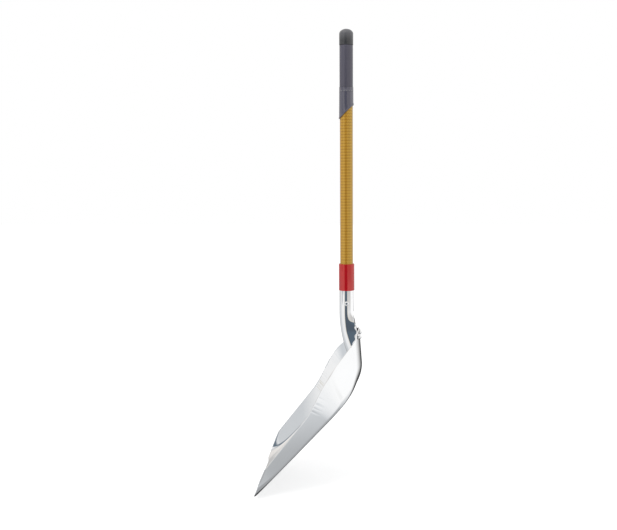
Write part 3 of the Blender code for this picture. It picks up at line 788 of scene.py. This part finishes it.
def channel_half(height, wing_top, wall_x):
    # Below the socket the rear of the tube unrolls into flat flanks, whose edges then spread to the wall
    radius = nose_radius(height)
    front = neck_front(height)
    drop = socket_end() - height
    unrolled = min(drop / UNROLL_LENGTH, 1.0)
    flank_start = front + radius
    flat_height = socket_end() - UNROLL_LENGTH
    spread = max(0.0, (flat_height - height) / (flat_height - wing_top))
    bend = (1.0 - smooth(unrolled)) / radius
    mouth = min(drop / MOUTH_ROUNDING, 1.0)
    closed_tail = radius * (math.pi / 2) - SEAM_HALF_GAP
    tail = blend(MOUTH_TAIL, CHANNEL_FLANK, unrolled)
    tail += (closed_tail - MOUTH_TAIL) * (1.0 - math.sqrt(mouth * (2.0 - mouth)))
    spread_length = blend(tail / 3, WING_BEND_RADIUS * math.pi / 2, spread)
    spread_turn = blend(-bend * spread_length, math.pi / 2, spread)
    if spread > 0.0:
        start_end = neck_front(flat_height) + radius + CHANNEL_FLANK
        end = blend(start_end, wall_x, spread)
        flank = end - flank_start - spread_length * math.sin(spread_turn) / spread_turn
    else:
        flank = tail - spread_length
    points = nose_half(front, radius, math.pi / 2)
    flank_points, heading = follow_arc(*points[-1], 0.0, flank, -bend * flank, FLANK_COLUMNS)
    spread_points, _ = follow_arc(*flank_points[-1], heading, spread_length, spread_turn, SPREAD_COLUMNS)
    return points + flank_points + spread_points


def ridge_depth(wall, height):
    edge = nose_radius(height) + WING_BEND_RADIUS
    return wall.inside(edge, height) - CURVED_FIT_GAP - neck_front(height)


def ridge_end(wall, wing_top):
    # The height at which the bent ridge has almost met the rear wall
    low, high = 0.0, wing_top
    for step in range(1, RIDGE_STEPS):
        height = wing_top * (1.0 - step / RIDGE_STEPS)
        if ridge_depth(wall, height) < RIDGE_END_HEIGHT:
            low = height
            break
        high = height
    for _ in range(HALVINGS):
        middle = (low + high) / 2
        if ridge_depth(wall, middle) < RIDGE_END_HEIGHT:
            low = middle
        else:
            high = middle
    return high


def apron_half(height, share, wall):
    # The ridge stands on two wings that lie on the rear wall
    radius = nose_radius(height)
    depth = ridge_depth(wall, height)
    bends = radius + WING_BEND_RADIUS
    opening = math.acos(max(0.0, 1.0 - depth / bends))
    flank = max(0.0, depth - bends)
    if flank == 0.0:
        points = nose_half(neck_front(height), radius, opening, NOSE_COLUMNS + FLANK_COLUMNS)
    else:
        points = nose_half(neck_front(height), radius, opening)
        x, y = points[-1]
        points += [(x + flank * column / FLANK_COLUMNS, y) for column in range(1, FLANK_COLUMNS + 1)]
    x, y = points[-1]
    for column in range(1, SPREAD_COLUMNS + 1):
        angle = opening * (1.0 - column / SPREAD_COLUMNS)
        points.append((x + WING_BEND_RADIUS * (math.cos(angle) - math.cos(opening)),
                       y + WING_BEND_RADIUS * (math.sin(opening) - math.sin(angle))))
    edge = points[-1][1]
    if share < WING_SHOULDER:
        width = blend(WING_TOP_WIDTH, WING_WIDTH, math.sin(0.5 * math.pi * share / WING_SHOULDER))
    else:
        fall = (share - WING_SHOULDER) / (1.0 - WING_SHOULDER)
        width = blend(WING_END_WIDTH, WING_WIDTH, math.cos(0.5 * math.pi * fall))
    for column in range(1, WING_COLUMNS + 1):
        across = edge + width * column / WING_COLUMNS
        points.append((wall.inside(across, height) - CURVED_FIT_GAP, across))
    return points


def rear_rim_height(across):
    low, high = 0.0, math.pi / 2
    for _ in range(RIM_HALVINGS):
        turn = (low + high) / 2
        out, up, _ = wall_station(SIDE_LENGTH + REAR_PATH_RADIUS * turn, turn)[-1]
        if out * math.cos(turn) > across:
            low = turn
        else:
            high = turn
    return tilted(SIDE_LENGTH + out * math.sin(turn), up)[1]


def eased_shares(count):
    return [(1.0 - math.cos(math.pi * step / count)) / 2 for step in range(count + 1)]


def neck_sections(wall):
    edge = socket_radius() + WING_BEND_RADIUS
    wing_top = rear_rim_height(edge + WING_TOP_WIDTH) - WING_TOP_GAP
    wall_x = wall.inside(edge, wing_top) - CURVED_FIT_GAP
    sections = [(socket_top(), socket_half())]
    for share in eased_shares(CHANNEL_ROWS)[:-1]:
        height = blend(socket_end(), wing_top, share)
        sections.append((height, channel_half(height, wing_top, wall_x)))
    bottom = ridge_end(wall, wing_top)
    for share in eased_shares(WING_ROWS):
        height = blend(wing_top, bottom, share)
        sections.append((height, apron_half(height, share, wall)))
    return sections


def make_neck(material, wall):
    bm = bmesh.new()
    previous = None
    for height, half in neck_sections(wall):
        near = [bm.verts.new((x, -y, height)) for x, y in half[1:]]
        middle = bm.verts.new((half[0][0], 0.0, height))
        far = [bm.verts.new((x, y, height)) for x, y in half[1:]]
        section = near[::-1] + [middle] + far
        if previous:
            # Wider sections have wing columns that the ones above lack
            extra = (len(section) - len(previous)) // 2
            inner = section[extra:len(section) - extra]
            for column in range(len(previous) - 1):
                bm.faces.new((previous[column], previous[column + 1], inner[column + 1], inner[column]))
        previous = section
    neck = finish_piece("neck_sheet", bm, material, ["socket_neck"])
    thicken(neck, NECK_SHEET, 1.0)
    return neck


# Rivets


def rivet_profile(shank, head, dome, top, tail_head, tail_dome, bottom):
    upper = dome_points(head / 2, top, dome, DOME_STEPS)
    upper.reverse()
    lower = [(radius, bottom - (height - bottom)) for radius, height in
             dome_points(tail_head / 2, bottom, tail_dome, DOME_STEPS)]
    return upper + [(shank / 2, top), (shank / 2, bottom)] + lower


def make_neck_rivets(material, wall):
    top = PAN_SHEET + CURVED_FIT_GAP
    bottom = -(CURVED_FIT_GAP + NECK_SHEET + CURVED_FIT_GAP + WASHER_THICKNESS + FIT_GAP)
    profile = rivet_profile(NECK_RIVET_SHANK, NECK_RIVET_HEAD, NECK_RIVET_DOME, top,
                            NECK_RIVET_TAIL_HEAD, NECK_RIVET_TAIL_DOME, bottom)
    for side, across in (("left", -rivet_spread()), ("right", rivet_spread())):
        place, normal = wall.meet(across, rim_top() - NECK_RIVET_DROP)
        outward = normal if normal.x > 0.0 else -normal
        turn = outward.to_track_quat("Z", "Y").to_matrix().to_4x4()
        bm = bmesh.new()
        turn_profile(bm, profile, SMALL_SEGMENTS, Matrix.Translation(place) @ turn)
        finish_piece("neck_rivet_dome_" + side, bm, material, ["neck_rivet_" + side])


def make_cross_rivet(material):
    base = socket_radius() + NECK_SHEET + FIT_GAP
    profile = rivet_profile(CROSS_RIVET_SHANK, CROSS_RIVET_HEAD, CROSS_RIVET_DOME, base,
                            CROSS_RIVET_HEAD, CROSS_RIVET_DOME, -base)
    top = base + CROSS_RIVET_DOME * math.sqrt(1.0 - (2.0 * CROSS_RIVET_CUP / CROSS_RIVET_HEAD) ** 2)
    cup = [(0.0, top - CROSS_RIVET_CUP_DEPTH), (CROSS_RIVET_CUP * 0.75, top - CROSS_RIVET_CUP_DEPTH),
           (CROSS_RIVET_CUP, top)]
    domes = [point for point in profile if point[0] > CROSS_RIVET_CUP]
    profile = cup + domes + [(radius, -height) for radius, height in cup[::-1]]
    height = socket_end() + CROSS_RIVET_RISE
    bm = bmesh.new()
    turn_profile(bm, profile, SMALL_SEGMENTS,
                 Matrix.Translation((0.0, 0.0, height)) @ Matrix.Rotation(math.pi / 2, 4, "X"))
    finish_piece("cross_rivet_domes", bm, material, ["cross_rivet"])


# Pole and collar


def cap_bottom():
    return TOTAL_LENGTH - CAP_LENGTH


def cuff_top():
    return cap_bottom() - SLEEVE_LENGTH


def cuff_low():
    return cuff_top() - CUFF_LENGTH


def cuff_slope():
    return math.tan(math.radians(CUFF_CUT_ANGLE))


def collar_top():
    return socket_top() - COLLAR_OVERLAP + COLLAR_LENGTH


def make_pole(material):
    # The wound fibres stand out as low zigzag rows between the collar and the cuff
    bm = bmesh.new()
    outer = POLE_DIAMETER / 2
    tenon = tenon_radius()
    bore = outer - POLE_WALL
    weave_low = collar_top() + WEAVE_MARGIN
    tenon_bottom = cuff_top() - CUFF_SHOULDER
    tenon_top = TOTAL_LENGTH - CAP_CROWN

    def weave(angle, radius, height):
        if radius < outer:
            return 0.0
        weave_high = cuff_low() + cuff_slope() * outer * math.cos(angle) - WEAVE_MARGIN
        fade = smooth((height - weave_low) / WEAVE_FADE) * smooth((weave_high - height) / WEAVE_FADE)
        swing = WEAVE_SWING * math.cos(WEAVE_COLUMNS * angle)
        wave = math.cos(2.0 * math.pi * height / WEAVE_PERIOD + swing)
        return WEAVE_HEIGHT * 0.5 * (wave - 1.0) * fade

    steps = round((tenon_bottom - collar_top()) / (WEAVE_PERIOD / WEAVE_STEPS))
    woven = [(outer, blend(tenon_bottom, collar_top(), step / steps)) for step in range(steps + 1)]
    profile = [(tenon, tenon_top), (tenon, tenon_bottom), *woven, (outer, pole_bottom()),
               (bore, pole_bottom()), (bore, tenon_top)]
    turn_profile(bm, profile, WEAVE_COLUMNS * WEAVE_STEPS, relief=weave)
    finish_piece("pole_tube", bm, material, ["pole"])


def make_collar(material):
    bm = bmesh.new()
    bore = POLE_DIAMETER / 2 + FIT_GAP
    recess = socket_radius() + NECK_SHEET + FIT_GAP
    outer = recess + COLLAR_WALL
    shoulder = socket_top() + FIT_GAP
    bottom = socket_top() - COLLAR_OVERLAP
    top = collar_top()
    profile = [(bore, top), *rounded((outer, top), (bore, top), (outer, bottom), MOULD_EDGE),
               *rounded((outer, bottom), (outer, top), (recess, bottom), COLLAR_WALL * 0.5),
               (recess, bottom), (recess, shoulder), (bore, shoulder)]
    turn_profile(bm, profile, ROUND_SEGMENTS)
    finish_piece("collar_sleeve", bm, material, ["ferrule_collar"])


# Grip and cap


def make_sleeve(material):
    bm = bmesh.new()
    bore = tenon_radius() + FIT_GAP
    outer = bore + SLEEVE_WALL
    top = cap_bottom() - FIT_GAP
    bottom = cuff_top() + FIT_GAP
    profile = [(bore, top), *rounded((outer, top), (bore, top), (outer, bottom), MOULD_EDGE),
               *rounded((outer, bottom), (outer, top), (bore, bottom), MOULD_EDGE / 4), (bore, bottom)]
    turn_profile(bm, profile, ROUND_SEGMENTS)
    finish_piece("sleeve_rubber", bm, material, ["grip_sleeve"])


def make_cuff(material):
    # The lower end is cut on a slant, lowest on the hollow side of the pan, and ends in a rounded lip
    bm = bmesh.new()
    bore = POLE_DIAMETER / 2 + FIT_GAP
    upper_bore = tenon_radius() + FIT_GAP
    top_radius = bore + CUFF_TOP_WALL
    low_radius = bore + CUFF_LOW_WALL
    lip_radius = bore + CUFF_LIP_WALL
    top = cuff_top()
    shoulder = cuff_top() - CUFF_SHOULDER + FIT_GAP
    low = cuff_low()
    lip_top = low + CUFF_LIP_LENGTH
    straight_from = low + lip_radius * cuff_slope() + CUFF_LIP_LENGTH + LIP_RISE
    ring = top - RING_DROP
    groove = top_radius - RING_GROOVE

    def lean(x, height):
        return cuff_slope() * x * (1.0 if height < straight_from else 0.0)

    bead = [(top_radius, ring + RING_WIDTH), (top_radius + RING_HEIGHT, ring + RING_WIDTH * 0.6),
            (top_radius + RING_HEIGHT, ring + RING_WIDTH * 0.2), (top_radius, ring),
            (groove, ring - RING_WIDTH * 0.3), (groove, ring - RING_WIDTH * 0.7),
            (top_radius, ring - RING_WIDTH)]
    lip = rounded((lip_radius, lip_top), (low_radius, lip_top + LIP_RISE), (lip_radius, low), LIP_EDGE)
    lip += rounded((lip_radius, low), (lip_radius, lip_top), (bore, low), LIP_EDGE)
    crown = rounded((top_radius, top), (upper_bore, top), (top_radius, ring), CUFF_TOP_EDGE)
    profile = [(upper_bore, top), *crown, *bead, (blend(top_radius, low_radius, 0.3), straight_from),
               (low_radius, lip_top + LIP_SHOULDER), *lip, (bore, low), (bore, shoulder),
               (upper_bore, shoulder)]
    turn_profile(bm, profile, ROUND_SEGMENTS, lean=lean)
    finish_piece("cuff_rubber", bm, material, ["grip_cuff"])


def make_cap(material):
    bm = bmesh.new()
    bore = tenon_radius() + FIT_GAP
    outer = bore + CAP_WALL
    bottom = cap_bottom()
    ceiling = TOTAL_LENGTH - CAP_CROWN + FIT_GAP
    profile = dome_points(outer, TOTAL_LENGTH - CAP_DOME, CAP_DOME, 2 * DOME_STEPS)
    profile.reverse()
    profile += rounded((outer, bottom), (outer, TOTAL_LENGTH - CAP_DOME), (bore, bottom), CAP_EDGE)
    profile += [(bore, bottom), (bore, ceiling), (0.0, ceiling)]
    turn_profile(bm, profile, ROUND_SEGMENTS)
    finish_piece("cap_dome", bm, material, ["end_cap"])


# Stage


def add_camera():
    camera = bpy.data.objects.new("camera", bpy.data.cameras.new("camera"))
    camera.data.sensor_width = SENSOR_WIDTH
    camera.data.lens = FOCAL_PIXELS * SENSOR_WIDTH / IMAGE_WIDTH
    pitch = math.radians(CAMERA_PITCH)
    yaw = math.radians(CAMERA_YAW)
    roll = math.radians(CAMERA_ROLL)
    forward = Vector((-math.sin(yaw) * math.cos(pitch), math.cos(yaw) * math.cos(pitch), -math.sin(pitch)))
    level = Vector((math.cos(yaw), math.sin(yaw), 0.0))
    upright = level.cross(forward)
    right = level * math.cos(roll) + upright * math.sin(roll)
    up = upright * math.cos(roll) - level * math.sin(roll)
    turn = Matrix((right, up, -forward)).transposed().to_4x4()
    camera.matrix_world = Matrix.Translation(pole_axis() + CAMERA_FROM_POLE) @ turn
    bpy.context.scene.collection.objects.link(camera)
    bpy.context.scene.camera = camera


def add_bands(tree, height, bands):
    # Levels of the tent from below to above, as (elevation, level, warmth)
    ramp = add_node(tree, "ShaderNodeValToRGB", None, Fac=add_range(tree, height, -1.0, 1.0, 0.0, 1.0))
    elements = ramp.color_ramp.elements
    while len(elements) < len(bands):
        elements.new(0.5)
    for element, (elevation, level, warmth) in zip(elements, bands):
        element.position = (math.sin(math.radians(elevation)) + 1.0) / 2.0
        element.color = (level * (1.0 + warmth), level, level * (1.0 - warmth), 1.0)
    return ramp.outputs["Color"]


def between(tree, value, low, high, edge):
    # One between two limits and nothing beyond them, with soft edges
    return add_math(tree, "MULTIPLY", add_range(tree, value, low - edge, low + edge, 0.0, 1.0),
                    add_range(tree, value, high - edge, high + edge, 1.0, 0.0))


def upright_slot(tree, azimuth, height, sides, ends):
    # A soft upright strip between two azimuths and two elevations
    low, high = (math.sin(math.radians(end)) for end in ends)
    return add_math(tree, "MULTIPLY", between(tree, azimuth, *sides, SLOT_SIDE_EDGE),
                    between(tree, height, low, high, SLOT_END_EDGE))


def add_tent(tree):
    # What polished metal sees, by azimuth from the front and by height: a pale tent that is brightest at the
    # right, greyer at the left and dark behind the object. It has dark upright slots: one at the front with a
    # pale fringe, and one at the left that is wider at its top.
    direction = add_node(tree, "ShaderNodeTexCoord").outputs["Generated"]
    parts = add_node(tree, "ShaderNodeSeparateXYZ", None, Vector=direction).outputs
    toward = add_math(tree, "MULTIPLY", parts["Y"], -1.0)
    azimuth = add_math(tree, "DEGREES", add_math(tree, "ARCTAN2", parts["X"], toward))
    height = parts["Z"]
    left_rear = [(-90, 0.05, 0.0), (-34, 0.08, 0.0), (-20, 0.40, 0.0), (-12, 0.50, 0.0), (0, 0.52, 0.02),
                 (6, 0.56, 0.02), (14, 0.72, 0.03), (26, 0.82, 0.03)]
    left_far = [(-90, 0.42, -0.03), (-50, 0.50, -0.03), (-24, 0.61, -0.04), (-10, 0.66, -0.04),
                (4, 0.64, 0.0), (10, 0.66, 0.02), (17, 0.77, 0.04), (26, 0.84, 0.03)]
    left_low = [(-90, 0.45, -0.02), (-50, 0.52, -0.02), (-28, 0.78, -0.02), (-18, 0.84, -0.01),
                (-8, 0.88, 0.0)]
    left_near = left_low + [(3, 0.88, 0.0), (8, 0.615, -0.03), (32, 0.615, -0.03), (46, 0.85, 0.0)]
    left_front = left_low + [(30, 0.85, 0.0)]
    right_near = [(-90, 0.36, -0.03), (-62, 0.42, -0.03), (-54, 0.46, -0.03), (-44, 0.62, -0.03),
                  (-38, 0.76, -0.02), (-30, 0.88, -0.01), (-13, 0.97, 0.0), (-8.5, 0.74, 0.0),
                  (0, 0.62, 0.02), (14, 0.56, 0.02), (22, 0.62, 0.0), (34, 0.76, 0.0), (50, 0.70, 0.0)]
    right_far = [(-90, 0.30, -0.03), (-62, 0.37, -0.03), (-54, 0.35, -0.03), (-44, 0.42, -0.03),
                 (-36, 0.55, -0.03), (-28, 0.67, -0.02), (-20, 0.80, -0.01), (-14, 0.97, 0.0),
                 (-8, 1.0, 0.0), (34, 1.0, 0.0), (48, 0.76, 0.0)]
    right_rear = [(-90, 0.04, 0.0), (-12, 0.05, 0.0), (-9, 0.25, 0.0), (-6, 0.72, 0.0), (30, 0.82, 0.0)]
    tent = add_bands(tree, height, left_rear)
    for first, last, bands in ((-148.0, -128.0, left_far), (-96.0, -80.0, left_near),
                               (-47.0, -40.0, left_front), (-6.0, 6.0, right_near), (60.0, 76.0, right_far),
                               (132.0, 156.0, right_rear)):
        turned = add_range(tree, azimuth, first, last, 0.0, 1.0)
        tent = mix_colors(tree, turned, tent, add_bands(tree, height, bands))
    overhead = add_range(tree, height, math.sin(math.radians(54.0)), math.sin(math.radians(66.0)), 0.0, 1.0)
    tent = mix_colors(tree, overhead, tent, (OVERHEAD_LEVEL,) * 3)
    fringe = upright_slot(tree, azimuth, height, (-36.0, 20.0), (-26.0, 26.0))
    tent = mix_colors(tree, fringe, tent, (0.66, 0.64, 0.58))
    front_slot = upright_slot(tree, azimuth, height, (-27.0, 11.0), (-24.0, 24.0))
    upward = add_range(tree, height, -0.25, 0.12, 0.0, 1.0)
    dark = mix_colors(tree, upward, (0.080, 0.10, 0.125), (0.100, 0.138, 0.18))
    tent = mix_colors(tree, front_slot, tent, dark)
    left_slot = upright_slot(tree, azimuth, height, (-74.0, -66.5), (-4.0, 24.0))
    upper_slot = upright_slot(tree, azimuth, height, (-84.0, -66.5), (13.0, 25.0))
    return mix_colors(tree, add_math(tree, "MAXIMUM", left_slot, upper_slot), tent, (0.13, 0.17, 0.21))


def add_world():
    # White where the camera looks past the object, an even light for matt surfaces, and the tent for metal
    world = bpy.data.worlds.new("studio")
    bpy.context.scene.world = world
    world.use_nodes = True
    tree = world.node_tree
    tree.nodes.clear()
    glossy = add_node(tree, "ShaderNodeBackground", None, Color=add_tent(tree), Strength=METAL_TENT_LEVEL)
    white = add_node(tree, "ShaderNodeBackground", None, Color=(1.0, 1.0, 1.0, 1.0), Strength=1.0)
    even = add_node(tree, "ShaderNodeBackground", None, Color=(1.0, 1.0, 1.0, 1.0), Strength=EVEN_LEVEL)
    path = add_node(tree, "ShaderNodeLightPath").outputs
    shown = add_node(tree, "ShaderNodeMixShader", None, Fac=path["Is Glossy Ray"])
    tree.links.new(even.outputs[0], shown.inputs[1])
    tree.links.new(glossy.outputs[0], shown.inputs[2])
    seen = add_math(tree, "MAXIMUM", path["Is Camera Ray"], path["Is Transmission Ray"])
    final = add_node(tree, "ShaderNodeMixShader", None, Fac=seen)
    tree.links.new(shown.outputs[0], final.inputs[1])
    tree.links.new(white.outputs[0], final.inputs[2])
    output = add_node(tree, "ShaderNodeOutputWorld")
    tree.links.new(final.outputs[0], output.inputs["Surface"])


def add_floor():
    bm = bmesh.new()
    corners = ((-1, -1), (1, -1), (1, 1), (-1, 1))
    bm.faces.new([bm.verts.new((x * FLOOR_REACH, y * FLOOR_REACH, 0.0)) for x, y in corners])
    mesh = bpy.data.meshes.new("studio_floor")
    bm.to_mesh(mesh)
    bm.free()
    floor = bpy.data.objects.new("studio_floor", mesh)
    bpy.context.scene.collection.objects.link(floor)
    material = bpy.data.materials.new("floor_paper")
    material.use_nodes = True
    tree = material.node_tree
    tree.nodes.clear()
    matt = add_node(tree, "ShaderNodeBsdfDiffuse", None, Color=(0.80, 0.80, 0.80, 1.0))
    glow = add_node(tree, "ShaderNodeEmission", None, Color=(1.0, 1.0, 1.0, 1.0))
    seen = add_node(tree, "ShaderNodeLightPath").outputs["Is Camera Ray"]
    tree.links.new(add_math(tree, "MULTIPLY", seen, FLOOR_GLOW), glow.inputs["Strength"])
    both = add_node(tree, "ShaderNodeAddShader")
    tree.links.new(matt.outputs[0], both.inputs[0])
    tree.links.new(glow.outputs[0], both.inputs[1])
    output = add_node(tree, "ShaderNodeOutputMaterial")
    tree.links.new(both.outputs[0], output.inputs["Surface"])
    mesh.materials.append(material)
    floor.visible_glossy = False


def add_lamp():
    lamp = bpy.data.lights.new("key", "AREA")
    lamp.shape = "DISK"
    lamp.size = LAMP_SIZE
    lamp.energy = LAMP_POWER
    item = bpy.data.objects.new("key", lamp)
    bpy.context.scene.collection.objects.link(item)
    turn = (LAMP_AIM - LAMP_PLACE).to_track_quat("-Z", "Y").to_matrix().to_4x4()
    item.matrix_world = Matrix.Translation(LAMP_PLACE) @ turn
    item.visible_glossy = False


def dress_node(name, material):
    for slot in nodes[name].material_slots:
        slot.material = material


def main():
    pan_steel = polished_metal("pan_steel", (0.92, 0.925, 0.93), 0.045, 0.085, (25.0, 700.0, 700.0))
    neck_steel = polished_metal("neck_steel", (0.93, 0.93, 0.935), 0.025, 0.05, (300.0, 300.0, 30.0))
    rivet_steel = polished_metal("rivet_steel", (0.90, 0.90, 0.90), 0.10, 0.17, (200.0, 200.0, 200.0))
    washer_steel = polished_metal("washer_steel", (0.75, 0.75, 0.76), 0.20, 0.32, (400.0, 400.0, 400.0))
    red = moulded_plastic("red_plastic", (0.43, 0.0002, 0.006), 0.06, 900.0, 0.00002, 0.95,
                          (1.0, 0.40, 0.36))
    ochre = resin_fibre("ochre_fibreglass", (0.50, 0.248, 0.021), (0.31, 0.125, 0.005), 0.20)
    cuff_rubber = ringed_rubber("cuff_rubber", (0.064, 0.059, 0.089), 0.24)
    grip_rubber = moulded_plastic("grip_rubber", (0.067, 0.062, 0.089), 0.36, 1500.0, 0.0001, 0.8)
    black = plastic_with_painted_crown_highlight("cap_plastic", (0.032, 0.032, 0.035), (0.11, 0.11, 0.12), 0.32)
    pan = make_pan(pan_steel)
    wall = RearWall(pan)
    make_neck(neck_steel, wall)
    make_neck_rivets(rivet_steel, wall)
    make_cross_rivet(rivet_steel)
    make_pole(ochre)
    make_collar(red)
    make_cuff(cuff_rubber)
    make_sleeve(grip_rubber)
    make_cap(black)
    dress_node("rivet_washer_left", washer_steel)
    dress_node("rivet_washer_right", washer_steel)
    dress_node("pole_core", turned_wood("plug_wood", (0.45, 0.30, 0.17), 0.7))
    add_camera()
    add_world()
    add_floor()
    add_lamp()
    bpy.context.scene.view_settings.view_transform = "Standard"


main()
